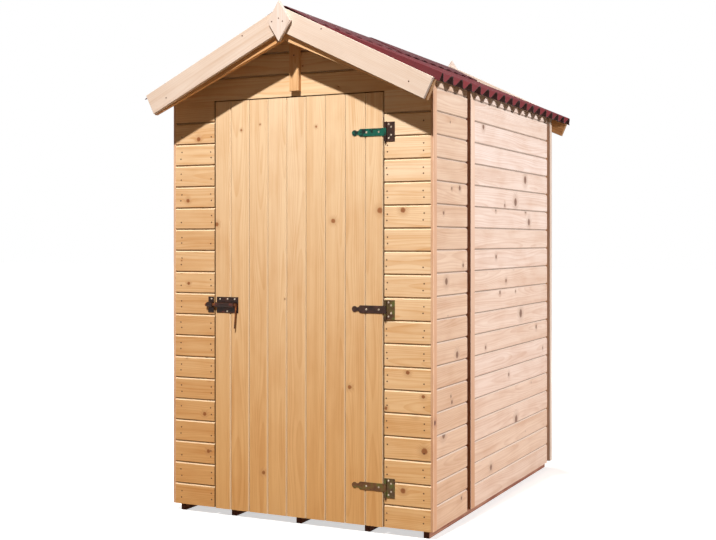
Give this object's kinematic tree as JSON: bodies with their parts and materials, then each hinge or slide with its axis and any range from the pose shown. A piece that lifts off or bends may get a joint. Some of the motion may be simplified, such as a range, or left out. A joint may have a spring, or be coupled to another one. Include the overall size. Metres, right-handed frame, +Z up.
{
  "type": "wooden outhouse",
  "caption": "Gable-roofed timber outhouse on runners, with horizontal board walls, a boarded door on T-hinges, a slide bolt and a corrugated red roof.",
  "frame": {"origin": "on the ground, under the middle of the cabin (the middle of its bounding box in plan)", "axes": "+X to the right of someone facing the door, +Y from the front wall towards the rear, +Z up; the cabin is widest upwards and narrowest across the front"},
  "size_m": [1.3548, 1.928, 2.131],
  "materials": {
    "spruce": "planed, untreated",
    "brown_spruce": "stained dark brown",
    "red_sheet": "corrugated bitumen sheet, matt dark red",
    "dark_bronze": "dark bronze passivation on steel"
  },
  "bodies": {
    "shed": {"floor_boards": "spruce", "front_gable": "spruce", "rear_wall": "spruce", "door_head_rail": "spruce", "door_posts": "spruce", "front_corner_posts": "spruce", "front_corner_trims": "spruce", "middle_trims": "spruce", "rear_corner_trims": "spruce", "gable_post": "spruce", "right_front_strip": "spruce", "left_front_strip": "spruce", "right_side_short_panel": "spruce", "left_side_short_panel": "spruce", "right_side_long_panel": "spruce", "left_side_long_panel": "spruce", "eaves_purlins": "spruce", "middle_purlins": "spruce", "ridge_beam": "spruce", "front_finial": "spruce", "rear_finial": "spruce", "right_front_barge_board": "spruce", "left_front_barge_board": "spruce", "right_rear_barge_board": "spruce", "left_rear_barge_board": "spruce", "right_front_rafter": "spruce", "left_front_rafter": "spruce", "right_rear_rafter": "spruce", "left_rear_rafter": "spruce", "floor_runners": "brown_spruce", "middle_posts": "brown_spruce", "rear_corner_posts": "brown_spruce", "right_roof_sheet": "red_sheet", "left_roof_sheet": "red_sheet", "ridge_cap": "red_sheet", "bolt_keeper": "dark_bronze", "hinge_plate_1": "dark_bronze", "hinge_plate_2": "dark_bronze", "hinge_plate_3": "dark_bronze"},
    "door": {"door_boards": "spruce", "door_ledges": "spruce", "hinge_strap_1": "dark_bronze", "hinge_strap_2": "dark_bronze", "hinge_strap_3": "dark_bronze", "bolt_barrel": "dark_bronze"},
    "bolt": {"bolt_rod": "dark_bronze"}
  },
  "joints": [
    {"name": "door_hinge", "type": "hinge", "parent": "shed", "child": "door", "pos_m": [0.397, -0.8209, 0], "axis": [0, 0, 1], "range_deg": [0, 105]},
    {"name": "bolt_slide", "type": "slide", "parent": "door", "child": "bolt", "axis": [1, 0, 0], "range_m": [0, 0.045]}
  ]
}
